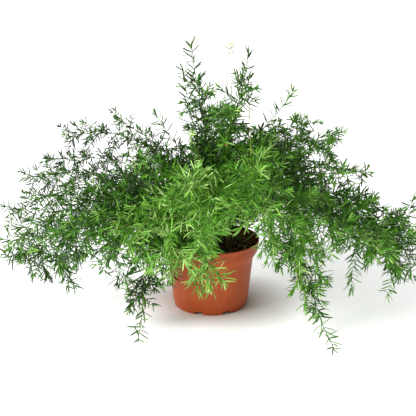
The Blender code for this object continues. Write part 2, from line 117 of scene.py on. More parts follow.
# where the young bright needles of the near left grow
livelySprays = (
    "front_left", "left_front_high", "front_left_high", "front_fall_left", "left_front_mid",
)
spires = ("crest_back_left", "crest_left", "crest_right", "crest_far_left", "crest_far_right")
# finer needles high on the wings, longer and more hooked ones at their low ends
needleScale = {
    "left_high": 0.78, "left_back_high": 0.75, "left_back": 0.75, "left_shoulder": 0.78,
    "left_end_high": 0.85, "right_high": 0.82, "right_back_high": 0.82,
    "crest_far_right": 0.88, "crest_far_left": 0.88, "right_shoulder": 0.85,
    "right_front_high": 0.92, "back_high": 0.85, "left_low": 1.15, "left_front_low": 1.15,
    "left_end": 1.08, "right_low": 1.15, "right_end_low": 1.15, "right_end": 1.1,
    "right_front_low": 1.1,
}
# lighter or darker foliage than the rest; part of it is painted light and shade: lighter on the
# sprays in the shade of the front (middle_left, middle_right, back_high) and darker on those the
# sun falls on (trail_left, crest_right)
toneAndPaintedLight = {
    "trail_left": -0.14, "crest_right": -0.2, "middle_left": 0.14, "middle_right": 0.14,
    "back_high": 0.12, "crest_front": -0.1, "crest_left": -0.05, "crest_back_left": -0.05,
    "left_high": 0.03, "front_left": 0.08, "left_front_high": 0.06, "left_front_mid": -0.05,
    "front_left_high": 0.03, "front_right_high": -0.09, "front_reach_right": -0.05,
    "right_front_high": -0.04,
}

potLook = {
    "height": 113 * mm, "rimRadius": 80 * mm, "bandHeight": 19 * mm, "bandTaper": 2.6 * mm,
    "stepHeight": 11.5 * mm, "stepDepth": 7.2 * mm, "baseRadius": 62.5 * mm, "heelHeight": 10 * mm,
    "heelDepth": 1.2 * mm, "footRadius": 60.3 * mm, "wall": 1.6 * mm, "floorHeight": 6 * mm,
    "sides": 160, "notchTurns": (-109, -64.5, 71, 115.5), "notchWidth": 14 * mm,
    "notchHeight": 5.2 * mm, "drains": 8, "drainRadius": 4 * mm, "drainCircle": 40 * mm,
    "colour": (0.47, 0.080, 0.014, 1), "pale": (0.52, 0.096, 0.019, 1),
    "dark": (0.41, 0.066, 0.010, 1),
}
soilLook = {
    "top": 99 * mm, "dome": 4 * mm, "lump": 2 * mm, "lumpSize": 18 * mm, "crumb": 1.3 * mm,
    "crumbSize": 4 * mm, "rings": 46, "sides": 128, "chips": 260, "straws": 230, "grains": 70,
}
litterTilt = 0.22
soilWindow = {
    "left": 10 * mm, "right": 76 * mm, "front": -60 * mm, "back": 60 * mm, "far": 1.39,
    "slope": 0.345, "lift": 5 * mm,
}
stemLook = {
    "holeDepth": 13.7 * mm, "collar": 3 * mm, "baseRadius": 1.35 * mm, "tipRadius": 0.5 * mm,
    "sides": 6, "stops": 26, "bare": 0.14, "node": 7 * mm, "crestNode": 4.6 * mm,
    "trailNode": 6.5 * mm,
}
branchLook = {
    "spacing": 9.2 * mm, "share": 0.185, "lean": 56, "droop": 0.04, "hang": 0.45,
    "radius": 0.55 * mm, "tipRadius": 0.28 * mm, "node": 5.6 * mm, "sides": 3,
    "forkEvery": 3, "forkLength": 30 * mm, "longer": 1.35, "taper": 0.6, "crestTaper": 0.92,
    "trailTaper": 2.0, "trailFall": 2.3, "least": 9 * mm, "crestLeast": 1.5, "upTo": 0.97,
    "sizes": (0.55, 1.1), "forkSizes": (0.6, 1.2), "forkFullness": 0.8, "leanSpread": 7,
    "turnSpread": 0.25, "nudges": (0, 40, -40, 80, -80, 130), "wander": 0.06,
    "age": 0.45, "ageing": 0.5, "margin": 1.5 * mm,
}
needleLook = {
    "length": 19.5 * mm, "width": 2.5 * mm, "frontLength": 25 * mm, "frontWidth": 2.2 * mm,
    "bolder": 1.15, "thickness": 0.45, "lean": 64, "spread": 21, "fewest": 2, "most": 4,
    "atTip": 2, "tipLean": 0.55, "turnSpread": 0.35, "rollSpread": 0.8, "tipMargin": 2.5 * mm,
    "margin": 1.5 * mm, "lengths": (0.72, 1.22), "breadths": (0.8, 1.2), "shorter": 0.35,
    "crown": 0.9, "crestCrown": 1.35, "trailCrown": 1.15, "crownMost": 2, "crownFrom": 0.3,
    "rings": (0.14, 0.46, 0.8), "widths": (0.82, 1.0, 0.86),
    "bends": (-0.12, 0.08, 0.2, 0.32, 0.44),
}
# shares of the way from deep green to young yellow-green, some of them painted light and shade,
# and how often a needle is lively or dry
toneLook = {
    "tone": 0.2, "frontTone": 0.34, "paintedSideLight": 0.13, "sprays": (-0.04, 0.05), "branches": 0.08,
    "needles": 0.13, "tips": 0.14, "crown": 0.05, "lively": 0.1, "livelier": 0.22,
    "livelyTone": 0.28, "brightest": 0.9, "dry": 0.002, "dryTones": (0.94, 1),
}
youngLook = {
    "tone": 0.8, "thin": 0.8, "bare": 0.4, "branches": 0.2, "branchSize": 0.3, "crownFrom": 0.93,
}
# places in mm, from in the mix to the broken top
stalkLook = {
    "route": ((26, -16, 92), (34, -26, 150), (52, -44, 210), (62, -52, 262), (61, -50, 300),
              (58, -48, 340)),
    "stops": 22, "foot": 1.0 * mm, "tip": 0.5 * mm, "knot": 0.25 * mm, "knotEvery": 5,
    "dark": (0.22, 0.24, 0.03, 1), "pale": (0.44, 0.48, 0.10, 1),
}
goldenAngle = math.radians(137.5)
# the near left, where the foliage is brightest, and how far out it is wholly so
frontTurn = math.radians(250)
frontReach = 130 * mm
trailFront = 0.35


def potRadius(height):
    p = potLook
    bodyTop = p["height"] - p["bandHeight"] - p["stepHeight"]
    bandFoot = p["rimRadius"] - p["bandTaper"]
    heights = (0, p["heelHeight"], bodyTop, bodyTop + p["stepHeight"], p["height"])
    radii = (p["footRadius"], p["baseRadius"], bandFoot - p["stepDepth"], bandFoot, p["rimRadius"])
    return float(np.interp(height, heights, radii))


def soilHeight(x, y):
    s = soilLook
    edge = potLook["rimRadius"] - potLook["wall"]
    dome = s["dome"] * (1 - (x * x + y * y) / (edge * edge))
    return s["top"] + dome + s["lump"] * noise.noise(Vector((x, y, 0)) / s["lumpSize"])


def overTheMix(point):
    # the space that slants up from the mix to the front right, kept open so that the mix shows
    w = soilWindow
    narrower = 1 + point.y / w["far"]
    if not w["left"] * narrower < point.x < w["right"] * narrower or point.y > w["back"]:
        return False
    floor = soilLook["top"]
    if point.y < w["front"]:
        floor = potLook["height"] + w["slope"] * (w["front"] - point.y)
    return floor < point.z < soilLook["top"] + w["lift"] + w["slope"] * (w["back"] - point.y)


def clearOfPot(point, margin):
    # above the floor, in the solids' own box, and outside the pot or over the soil inside it
    if point.z < margin:
        return False
    sides = zip(cadBox[0], point, cadBox[1])
    if any(not low - spare < at < high + spare for low, at, high in sides):
        return False
    if point.z > potLook["height"] + margin:
        return True
    across = math.hypot(point.x, point.y)
    if across > potRadius(point.z) + margin:
        return True
    inside = across < potRadius(point.z) - potLook["wall"] - margin
    return inside and point.z > soilHeight(point.x, point.y) + margin


def newMaterial(name, roughness, specular=0.5):
    material = bpy.data.materials.new(name)
    material.use_nodes = True
    shader = material.node_tree.nodes["Principled BSDF"]
    shader.inputs["Roughness"].default_value = roughness
    shader.inputs["Specular IOR Level"].default_value = specular
    return material, material.node_tree, shader


def addNode(tree, kind, **values):
    node = tree.nodes.new(kind)
    for name, value in values.items():
        if name in node.inputs:
            node.inputs[name].default_value = value
        else:
            setattr(node, name, value)
    return node


def objectNoise(tree, scale, detail=4, stretch=(1, 1, 1)):
    # noise in the object's own metres, stretched along an axis where wanted
    place = addNode(tree, "ShaderNodeTexCoord")
    mapping = addNode(tree, "ShaderNodeMapping", Scale=stretch)
    cloud = addNode(tree, "ShaderNodeTexNoise", Scale=scale, Detail=detail)
    tree.links.new(place.outputs["Object"], mapping.inputs["Vector"])
    tree.links.new(mapping.outputs["Vector"], cloud.inputs["Vector"])
    return cloud.outputs["Fac"]


def ramp(tree, factor, stops):
    node = addNode(tree, "ShaderNodeValToRGB")
    elements = node.color_ramp.elements
    while len(elements) < len(stops):
        elements.new(0.5)
    for element, (position, colour) in zip(elements, stops):
        element.position = position
        element.color = colour
    tree.links.new(factor, node.inputs["Fac"])
    return node.outputs["Color"]


def blendColour(tree, factor, first, second, kind="MIX"):
    node = addNode(tree, "ShaderNodeMix", data_type="RGBA", blend_type=kind)
    sockets = node.inputs["Factor"], node.inputs[6], node.inputs[7]
    for socket, value in zip(sockets, (factor, first, second)):
        if isinstance(value, (tuple, float, int)):
            socket.default_value = value
        else:
            tree.links.new(value, socket)
    return node.outputs[2]


def addBump(tree, shader, height, strength, distance):
    bump = addNode(tree, "ShaderNodeBump", Strength=strength, Distance=distance)
    tree.links.new(height, bump.inputs["Height"])
    tree.links.new(bump.outputs["Normal"], shader.inputs["Normal"])


def spreadRoughness(tree, shader, factor, low, high):
    span = addNode(tree, "ShaderNodeMapRange")
    span.inputs["To Min"].default_value = low
    span.inputs["To Max"].default_value = high
    tree.links.new(factor, span.inputs["Value"])
    tree.links.new(span.outputs["Result"], shader.inputs["Roughness"])


def needleMaterial():
    # tone runs from deep green through fresh green to young yellow-green, then to dry straw
    material, tree, shader = newMaterial("needleGreen", 0.5, 0.36)
    tone = addNode(tree, "ShaderNodeAttribute", attribute_name="tone").outputs["Fac"]
    colour = ramp(tree, tone, (
        (0.0, (0.009, 0.032, 0.001, 1)), (0.2, (0.022, 0.080, 0.002, 1)),
        (0.45, (0.060, 0.225, 0.006, 1)), (0.7, (0.17, 0.46, 0.034, 1)),
        (0.9, (0.44, 0.68, 0.20, 1)), (1.0, (0.36, 0.19, 0.06, 1)),
    ))
    mottle = objectNoise(tree, 55, 3)
    shade = ramp(tree, mottle, ((0.3, (0.78, 0.80, 0.76, 1)), (0.7, (1.16, 1.12, 1.08, 1))))
    tree.links.new(blendColour(tree, 1.0, colour, shade, "MULTIPLY"), shader.inputs["Base Color"])
    spreadRoughness(tree, shader, objectNoise(tree, 400, 2), 0.36, 0.56)
    return material


def stemMaterial():
    material, tree, shader = newMaterial("stemBark", 0.5, 0.4)
    age = addNode(tree, "ShaderNodeAttribute", attribute_name="tone").outputs["Fac"]
    colour = ramp(tree, age, (
        (0.0, (0.20, 0.115, 0.045, 1)), (0.07, (0.16, 0.15, 0.045, 1)),
        (0.2, (0.085, 0.16, 0.035, 1)), (0.7, (0.13, 0.25, 0.05, 1)), (1.0, (0.30, 0.40, 0.11, 1)),
    ))
    streak = objectNoise(tree, 240, 3, (1, 1, 0.12))
    shade = ramp(tree, streak, ((0.3, (0.70, 0.70, 0.66, 1)), (0.7, (1.2, 1.15, 1.1, 1))))
    tree.links.new(blendColour(tree, 1.0, colour, shade, "MULTIPLY"), shader.inputs["Base Color"])
    addBump(tree, shader, streak, 0.35, 0.0004)
    return material


def potMaterial():
    # moulded plastic: even colour with a faint cloudiness, flow lines, scuffs and splashed soil
    material, tree, shader = newMaterial("terracottaPlastic", 0.45, 0.3)
    p = potLook
    cloud = objectNoise(tree, 22, 5)
    colour = ramp(tree, cloud, ((0.25, p["dark"]), (0.5, p["colour"]), (0.8, p["pale"])))
    flow = objectNoise(tree, 90, 4, (1, 1, 0.06))
    flowShade = ramp(tree, flow, ((0.3, (0.93, 0.92, 0.9, 1)), (0.7, (1.06, 1.06, 1.05, 1))))
    colour = blendColour(tree, 1.0, colour, flowShade, "MULTIPLY")
    scuff = ramp(tree, objectNoise(tree, 320, 6), ((0.62, (0, 0, 0, 1)), (0.72, (1, 1, 1, 1))))
    colour = blendColour(tree, scuff, colour, (0.58, 0.15, 0.045, 1))
    speck = ramp(tree, objectNoise(tree, 900, 2), ((0.70, (0, 0, 0, 1)), (0.74, (1, 1, 1, 1))))
    colour = blendColour(tree, speck, colour, (0.10, 0.05, 0.03, 1))
    tree.links.new(colour, shader.inputs["Base Color"])
    spreadRoughness(tree, shader, objectNoise(tree, 60, 5), 0.36, 0.56)
    grain = objectNoise(tree, 1500, 3)
    addBump(tree, shader, grain, 0.25, 0.0003)
    return material


def soilMaterial():
    material, tree, shader = newMaterial("dampPottingMix", 0.9, 0.25)
    crumb = objectNoise(tree, 480, 8)
    colour = ramp(tree, crumb, (
        (0.30, (0.010, 0.006, 0.004, 1)), (0.48, (0.045, 0.026, 0.016, 1)),
        (0.62, (0.12, 0.070, 0.038, 1)), (0.76, (0.28, 0.18, 0.095, 1)),
    ))
    damp = ((0.35, (0.6, 0.6, 0.6, 1)), (0.7, (1.25, 1.2, 1.15, 1)))
    patch = ramp(tree, objectNoise(tree, 45, 4), damp)
    tree.links.new(blendColour(tree, 1.0, colour, patch, "MULTIPLY"), shader.inputs["Base Color"])
    addBump(tree, shader, crumb, 0.9, 0.0012)
    return material


def litterMaterial(name, dark, light, roughness, scale):
    material, tree, shader = newMaterial(name, roughness, 0.3)
    grain = objectNoise(tree, scale, 5, (1, 0.35, 1))
    tree.links.new(ramp(tree, grain, ((0.3, dark), (0.7, light))), shader.inputs["Base Color"])
    addBump(tree, shader, grain, 0.6, 0.0006)
    return material


def setRange(node, *limits):
    for name, value in zip(("From Min", "From Max", "To Min", "To Max"), limits):
        node.inputs[name].default_value = value


def finishPiece(name, bm, materials, smooth=True):
    mesh = bpy.data.meshes.new(name)
    bm.to_mesh(mesh)
    bm.free()
    for material in materials:
        mesh.materials.append(material)
    if smooth:
        mesh.shade_smooth()
    piece = bpy.data.objects.new(name, mesh)
    bpy.context.scene.collection.objects.link(piece)
    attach(piece, "root")
    return piece


def growTube(bm, stops, sides):
    # stops are (place, heading, radius): the end face is pushed on from each to the next
    (start, _, radius), (end, _, size) = stops[:2]
    turn = (end - start).to_track_quat("Z", "Y").to_matrix().to_4x4()
    middle = Matrix.Translation((start + end) / 2) @ turn
    made = bmesh.ops.create_cone(bm, cap_ends=True, segments=sides, radius1=radius,
                                 radius2=size, depth=(end - start).length, matrix=middle)
    cap = max({face for vert in made["verts"] for face in vert.link_faces},
              key=lambda face: (face.calc_center_median() - start).dot(end - start))
    before, last = end, (end - start).normalized()
    for place, heading, radius in stops[2:]:
        cap = bmesh.ops.extrude_discrete_faces(bm, faces=[cap])["faces"][0]
        verts = list(cap.verts)
        swing = last.rotation_difference(heading).to_matrix()
        move = Matrix.Translation(place) @ swing.to_4x4() @ Matrix.Scale(radius / size, 4)
        bmesh.ops.transform(bm, verts=verts, matrix=move @ Matrix.Translation(-before))
        before, last, size = place, heading, radius


def needleTemplates():
    # a flat pointed blade with a keel, one unit long and one wide, in a few bends
    n = needleLook
    leaves = []
    for bend in n["bends"]:
        bm = bmesh.new()
        up = Vector((0, 0, 1))
        stops = [(up * z, up, w / 2) for z, w in zip(n["rings"], n["widths"])]
        growTube(bm, stops, 3)
        ends = [face for face in bm.faces if abs(face.normal.z) > 0.9]
        for face in ends:
            top = face.calc_center_median().z > 0.5
            tip = bmesh.ops.poke(bm, faces=[face])["verts"][0]
            tip.co = up * (1.0 if top else 0.0)
        bmesh.ops.scale(bm, verts=bm.verts, vec=(1, n["thickness"], 1))
        for vert in bm.verts:
            vert.co.y += bend * vert.co.z ** 2 * n["length"] / n["width"]
        bmesh.ops.recalc_face_normals(bm, faces=bm.faces)
        leaf = bpy.data.meshes.new("needle")
        bm.to_mesh(leaf)
        bm.free()
        leaf.polygons.foreach_set("material_index", np.ones(len(leaf.polygons), dtype=np.int32))
        leaves.append(leaf)
    return leaves


def bladeTurn(way, ahead, roll):
    # the blade's flat side faces along the branch, so that it hooks forward like a claw
    across = Matrix.Rotation(roll, 3, way) @ ahead.cross(way).normalized()
    return Matrix((across, way.cross(across), way)).transposed()


def stampNeedle(bm, leaf, foot, turn, length, width):
    copy = leaf.copy()
    size = Matrix.Diagonal((width, width, length, 1))
    copy.transform(Matrix.Translation(foot) @ turn.to_4x4() @ size)
    bm.from_mesh(copy)
    bpy.data.meshes.remove(copy)


def stemFoot(node):
    # where the solid's buried end stands, and how high it leaves the soil
    corners = {tuple(round(c, 5) for c in vert.co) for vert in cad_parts[node].data.vertices}
    inPot = potLook["baseRadius"]
    corners = [corner for corner in corners if math.hypot(corner[0], corner[1]) < inPot]
    low = min(corner[2] for corner in corners)
    ends = [Vector(corner) for corner in corners if corner[2] < low + 0.5 * mm]
    middle = sum(ends, Vector()) / len(ends)
    return middle, low + stemLook["holeDepth"] + stemLook["collar"]


def onCircle(azimuth, radius, height):
    return Vector((math.cos(azimuth) * radius, math.sin(azimuth) * radius, height))


def archLine(node, steps=60):
    azimuth, reach, tip, middle, turn = arches[node]
    foot, height = stemFoot(node)
    root = math.hypot(foot.x, foot.y)
    shift = (math.degrees(math.atan2(foot.y, foot.x)) - azimuth + 180) % 360 - 180
    reach, tip, middle = reach * mm, tip * mm, middle * mm
    pull = (middle - (height + tip) / 8) / 0.75
    radii = (root, root + 0.10 * (reach - root), root + 0.66 * (reach - root), reach)
    heights = (height, pull, pull, tip)
    points = [Vector((foot.x, foot.y, height - stemLook["collar"] - 8 * mm))]
    for step in range(steps + 1):
        t = step / steps
        weights = ((1 - t) ** 3, 3 * t * (1 - t) ** 2, 3 * t * t * (1 - t), t ** 3)
        way = math.radians(azimuth + shift * (1 - t) + turn * t * t)
        points.append(onCircle(way, np.dot(weights, radii), np.dot(weights, heights)))
    return points


def trailLine(node, steps=60):
    azimuth, turn, route = trails[node]
    foot, height = stemFoot(node)
    start = math.atan2(foot.y, foot.x)
    stops = [Vector((math.hypot(foot.x, foot.y), height))] + [Vector(stop) * mm for stop in route]
    ends = [2 * stops[0] - stops[1]] + stops + [2 * stops[-1] - stops[-2]]
    points = [Vector((foot.x, foot.y, height - stemLook["collar"] - 8 * mm))]
    for step in range(steps + 1):
        place = step / steps * (len(stops) - 1)
        span = min(int(place), len(stops) - 2)
        t = place - span
        a, b, c, d = ends[span:span + 4]
        at = 0.5 * (2 * b + (c - a) * t + (2 * a - 5 * b + 4 * c - d) * t ** 2
                    + (3 * b - a - 3 * c + d) * t ** 3)
        way = start + math.radians(turn) * (step / steps) ** 2
        points.append(onCircle(way, at.x, at.y))
    return points


def readLine(points):
    # gives place and heading at any share of the line's length
    spots = np.array(points)
    lengths = np.concatenate([[0], np.cumsum(np.linalg.norm(np.diff(spots, axis=0), axis=1))])

    def placeAt(share):
        return Vector([np.interp(share * lengths[-1], lengths, spots[:, k]) for k in range(3)])

    def headingAt(share):
        return (placeAt(min(1, share + 0.012)) - placeAt(max(0, share - 0.012))).normalized()

    return placeAt, headingAt, float(lengths[-1])


def leafShape(share, taper):
    return max(0.1, math.sin(math.pi * (0.25 + taper * share))) ** 0.7


def sproutBranch(place, heading, length, step, draw):
    # the nodes of a side branch: it wanders a little and droops
    path = [(place, heading)]
    droop = Vector((0, 0, -branchLook["droop"]))
    for _ in range(max(2, round(length / step))):
        wander = Vector(draw.normal(0, branchLook["wander"], 3))
        heading = (heading + wander + droop).normalized()
        place = place + heading * step
        if overTheMix(place) or not clearOfPot(place, branchLook["margin"]):
            break
        path.append((place, heading))
    return path


def sproutNeedles(path, first, size, breadth, tone, hooked, most, lively, draw, needles):
    # a bunch of needles at each node, turned on by the golden angle from the one below
    n, c = needleLook, toneLook
    bright = draw.normal(0, c["branches"])
    turn = draw.uniform(0, math.tau)
    for number, (place, heading) in enumerate(path):
        if number < first:
            continue
        turn += goldenAngle
        along = number / max(1, len(path) - 1)
        side = heading.orthogonal().normalized()
        last = number == len(path) - 1
        count = int(draw.integers(n["fewest"], most + 1)) + (n["atTip"] if last else 0)
        for k in range(count):
            lean = n["lean"] * (n["tipLean"] if last else 1) + draw.normal(0, n["spread"])
            around = turn + k * math.tau / count + draw.normal(0, n["turnSpread"])
            outward = Matrix.Rotation(around, 3, heading) @ side
            way = heading * math.cos(math.radians(lean)) + outward * math.sin(math.radians(lean))
            length = size * draw.uniform(*n["lengths"]) * (1 - n["shorter"] * along ** 3)
            width = breadth * draw.uniform(*n["breadths"])
            kinds = draw.integers(len(n["bends"]), size=2)
            kind = int(kinds.max() if hooked else kinds[0])
            turned = bladeTurn(way, heading, draw.normal(0, n["rollSpread"]))
            hook = turned.col[1] * n["bends"][kind] * n["length"] * width / n["width"]
            tip, middle = place + way * length + hook, place + way * length / 2
            if not (clearOfPot(tip, n["tipMargin"]) and clearOfPot(middle, n["margin"])):
                continue
            if overTheMix(place):
                continue
            # needles lighter towards a branch's tip: partly young tips, partly painted shade that
            # darkens the inner needles
            shade = tone + draw.normal(0, c["needles"]) + c["tips"] * along ** 2 + bright
            shade = min(c["brightest"], shade + (c["livelyTone"] if draw.random() < lively else 0))
            if draw.random() < c["dry"]:
                shade = draw.uniform(*c["dryTones"])
            needles.append((kind, place, turned, length, width, shade))


def growSpray(node, points, leaves, materials):
    s, b, n, c, y = stemLook, branchLook, needleLook, toneLook, youngLook
    young, upright, trailing = node in youngShoots, node in spires, node in trails
    draw = np.random.default_rng(sum(map(ord, node)) + 11)
    placeAt, headingAt, length = readLine(points)
    azimuth = math.atan2(points[-1].y, points[-1].x)
    reach = math.hypot(points[-1].x, points[-1].y)
    front = max(0, math.cos(azimuth - frontTurn)) * min(1, reach / frontReach)
    full = fullness.get(node, 1)
    if trailing:
        front = trailFront
    # each spray's own shift, part of it painted light and painted shade
    tone = y["tone"] if young else c["tone"] + c["frontTone"] * front + toneAndPaintedLight.get(node, 0)
    # painted light and shade: needles on the right, away from the sun, are made lighter and those
    # on the left, in the sun, darker
    tone += c["paintedSideLight"] * math.cos(azimuth) * (not young) + draw.uniform(*c["sprays"])
    bm = bmesh.new()
    thin = y["thin"] if young else 1
    taper = b["crestTaper"] if upright else b["taper"]
    scale = needleScale.get(node, 1)
    hooked = scale > 1
    lively = c["livelier"] if node in livelySprays else c["lively"]
    step = b["node"] * min(1, scale)
    needleSize = thin * scale * (n["length"] + (n["frontLength"] - n["length"]) * front)
    needleWidth = n["width"] + (n["frontWidth"] - n["width"]) * front
    needleWidth = thin * min(1, scale) ** 0.7 * needleWidth
    needleWidth *= n["bolder"] if upright or trailing else 1
    ages = []
    stops = []
    for k in range(s["stops"]):
        share = k / (s["stops"] - 1)
        radius = thin * (s["baseRadius"] + (s["tipRadius"] - s["baseRadius"]) * share)
        stops.append((placeAt(share), headingAt(share), radius))
        ages += [share] * s["sides"]
    growTube(bm, stops, s["sides"])

    needles = []
    paths = []
    bare = y["bare"] if young else bareTo.get(node, s["bare"])
    leafy = b["upTo"] - bare
    count = round(leafy * length / b["spacing"] * (y["branches"] if young else 1))
    for k in range(count):
        share = bare + leafy * (k + draw.uniform(0.2, 0.8)) / count
        heading = headingAt(share)
        across = heading.cross(Vector((0, 0, 1))).normalized()
        size = b["share"] * length * leafShape(share, taper) * full * draw.uniform(*b["sizes"])
        size *= y["branchSize"] if young else 1
        size *= b["trailTaper"] - b["trailFall"] * share if trailing else 1
        if size < b["least"] * (b["crestLeast"] if upright else 1):
            continue
        forked = k % b["forkEvery"] == 1 and full >= b["forkFullness"] and not young
        if forked:
            size *= b["longer"]
        lean = math.radians(b["lean"] + draw.normal(0, b["leanSpread"]))
        # a branch that the pot or the open mix stops is tried again further round the stem
        for nudge in b["nudges"]:
            swing = draw.uniform(-b["turnSpread"], b["turnSpread"])
            around = k * goldenAngle + math.radians(nudge) + swing
            outward = Matrix.Rotation(around, 3, heading) @ across
            way = heading * math.cos(lean) + outward * math.sin(lean)
            reached = size * (1 if upright else 1 - b["hang"] * way.z)
            path = sproutBranch(placeAt(share), way, reached, step, draw)
            if len(path) > 2:
                break
        paths.append(path)
        if forked:
            for place, way in path[3:-3:4]:
                side = way.orthogonal().normalized()
                side = Matrix.Rotation(draw.uniform(0, math.tau), 3, way) @ side
                size = b["forkLength"] * draw.uniform(*b["forkSizes"])
                paths.append(sproutBranch(place, (way + side).normalized(), size, step, draw))
    for path in paths:
        if len(path) < 2:
            continue
        picked = path[::2] if len(path) % 2 else path[::2] + path[-1:]
        stops = []
        for k, (place, heading) in enumerate(picked):
            along = k / (len(picked) - 1)
            radius = thin * (b["radius"] + (b["tipRadius"] - b["radius"]) * along)
            stops.append((place, heading, radius))
            ages += [b["age"] + b["ageing"] * along] * b["sides"]
        growTube(bm, stops, b["sides"])
        sproutNeedles(path, 1, needleSize, needleWidth, tone, hooked, n["most"], lively, draw,
                      needles)
    # the stem's own needles, from where it is no longer bare to its tip
    first = y["crownFrom"] if young else max(n["crownFrom"], bare)
    apart, larger, most = s["node"], n["crown"], n["most"]
    if upright:
        apart, larger, most = s["crestNode"], n["crestCrown"], n["crownMost"]
    elif trailing:
        apart, larger, most = s["trailNode"], n["trailCrown"], n["crownMost"]
    spots = np.arange(first, 1.001, apart / length)
    crown = [(placeAt(share), headingAt(share)) for share in spots]
    sproutNeedles(crown, 0, larger * needleSize, needleWidth, tone + c["crown"], hooked, most,
                  lively, draw, needles)

    tubeFaces = len(bm.faces)
    bmesh.ops.recalc_face_normals(bm, faces=bm.faces)
    for kind, place, turned, size, width, _ in needles:
        stampNeedle(bm, leaves[kind], place, turned, size, width)
    piece = finishPiece(node + "_leaves", bm, materials, smooth=False)
    shades = np.repeat([shade for *_, shade in needles], len(leaves[0].vertices))
    tones = np.concatenate([ages, shades])
    layer = piece.data.attributes.new("tone", "FLOAT", "POINT")
    layer.data.foreach_set("value", np.clip(tones, 0, 1).astype(np.float32))
    smooth = np.zeros(len(piece.data.polygons), dtype=bool)
    smooth[:tubeFaces] = True
    piece.data.polygons.foreach_set("use_smooth", smooth)
    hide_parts(node)
    return len(needles)


def makeStalk():
    # an old stalk that has lost its leaves and turned yellow
    s = stalkLook
    placeAt, headingAt, _ = readLine([Vector(spot) * mm for spot in s["route"]])
    material, tree, shader = newMaterial("oldStalk", 0.55, 0.35)
    streak = objectNoise(tree, 160, 4, (1, 1, 0.2))
    colour = ramp(tree, streak, ((0.35, s["dark"]), (0.65, s["pale"])))
    tree.links.new(colour, shader.inputs["Base Color"])
    addBump(tree, shader, streak, 0.4, 0.0003)
    bm = bmesh.new()
    stops = []
    for k in range(s["stops"]):
        share = k / (s["stops"] - 1)
        knot = s["knot"] if k % s["knotEvery"] == 0 else 0
        radius = s["foot"] + (s["tip"] - s["foot"]) * share + knot
        stops.append((placeAt(share), headingAt(share), radius))
    growTube(bm, stops, 6)
    bmesh.ops.recalc_face_normals(bm, faces=bm.faces)
    finishPiece("old_stalk", bm, [material])


def makePot(material):
    p = potLook
    bodyTop = p["height"] - p["bandHeight"] - p["stepHeight"]
    bandFoot = bodyTop + p["stepHeight"]
    floorTop = p["floorHeight"] + p["wall"]
    wall = p["wall"]
    lip = 0.6 * mm
    # the outside from the foot up, over the rim, then the inside down to the floor
    profile = [
        (0.0, p["floorHeight"]), (p["footRadius"] - 2 * wall, p["floorHeight"]),
        (p["footRadius"] - 2 * wall, lip), (p["footRadius"] - 2 * wall + lip, 0),
        (p["footRadius"] - lip, 0), (p["footRadius"], lip),
        (potRadius(p["heelHeight"]) - p["heelDepth"], p["heelHeight"] - lip),
        (potRadius(p["heelHeight"]) - p["heelDepth"] + 0.2 * mm, p["heelHeight"]),
        (p["baseRadius"], p["heelHeight"] + p["heelDepth"]),
        (potRadius(bodyTop) - 0.1 * mm, bodyTop - lip),
        (potRadius(bodyTop) + 0.4 * mm, bodyTop + lip),
        (potRadius(bandFoot) - 1.4 * mm, bandFoot - 1.2 * mm),
        (potRadius(bandFoot), bandFoot + 0.4 * mm),
        (potRadius(bandFoot) + 0.35 * mm, bandFoot + 1.6 * mm),
        (p["rimRadius"] - 0.9 * mm, p["height"] - 4.2 * mm),
        (p["rimRadius"] - 0.2 * mm, p["height"] - 3.2 * mm),
        (p["rimRadius"], p["height"] - lip), (p["rimRadius"] - lip, p["height"]),
        (p["rimRadius"] - wall + 0.4 * mm, p["height"]),
        (p["rimRadius"] - wall, p["height"] - lip),
        (potRadius(bandFoot) - wall, bandFoot + wall / 2),
        (potRadius(bodyTop) - wall, bodyTop + wall / 2),
        (potRadius(floorTop) - wall - p["heelDepth"], floorTop), (0.0, floorTop),
    ]
    bm = bmesh.new()
    corners = [bm.verts.new((radius, 0, height)) for radius, height in profile]
    edges = [bm.edges.new(pair) for pair in zip(corners, corners[1:])]
    long = [edge for edge in edges if edge.calc_length() > 9 * mm]
    bmesh.ops.subdivide_edges(bm, edges=long, cuts=5)
    bmesh.ops.spin(bm, geom=bm.verts[:] + bm.edges[:], axis=(0, 0, 1), cent=(0, 0, 0),
                   angle=math.tau, steps=p["sides"], use_merge=True)
    bmesh.ops.remove_doubles(bm, verts=bm.verts, dist=0.01 * mm)
    # drain notches: the foot ring is lifted in low arches
    for vert in bm.verts:
        across = math.hypot(vert.co.x, vert.co.y)
        if vert.co.z > p["notchHeight"] or across < p["footRadius"] - 3 * wall:
            continue
        way = math.atan2(vert.co.y, vert.co.x)
        turns = [abs((way - math.radians(at) + math.pi) % math.tau - math.pi)
                 for at in p["notchTurns"]]
        turn = min(turns) * p["footRadius"] / (p["notchWidth"] / 2)
        if turn < 1:
            arch = p["notchHeight"] * min(1, 3.4 * (1 - turn ** 2)) ** 0.5
            vert.co.z = max(vert.co.z, arch)
    bmesh.ops.recalc_face_normals(bm, faces=bm.faces)
    pot = finishPiece("moulded_pot", bm, [material])
    pot.data.set_sharp_from_angle(angle=math.radians(50))
    cutDrains(pot)
    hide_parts("pot")


def cutDrains(pot):
    p = potLook
    bm = bmesh.new()
    for number in range(p["drains"]):
        way = math.radians(p["notchTurns"][0]) + number * math.tau / p["drains"]
        turn = Matrix.Rotation(way, 4, "Z")
        place = turn @ Matrix.Translation((p["drainCircle"], 0, p["floorHeight"] + p["wall"] / 2))
        bmesh.ops.create_cone(bm, cap_ends=True, segments=24, radius1=p["drainRadius"],
                              radius2=p["drainRadius"], depth=4 * p["wall"], matrix=place)
    mesh = bpy.data.meshes.new("drains")
    bm.to_mesh(mesh)
    bm.free()
    cutter = bpy.data.objects.new("drains", mesh)
    bpy.context.scene.collection.objects.link(cutter)
    boolean = pot.modifiers.new("Drains", "BOOLEAN")
    boolean.operation = "DIFFERENCE"
    boolean.object = cutter
    graph = bpy.context.evaluated_depsgraph_get()
    cut = bpy.data.meshes.new_from_object(pot.evaluated_get(graph))
    pot.modifiers.clear()
    pot.data = cut
    bpy.data.objects.remove(cutter)


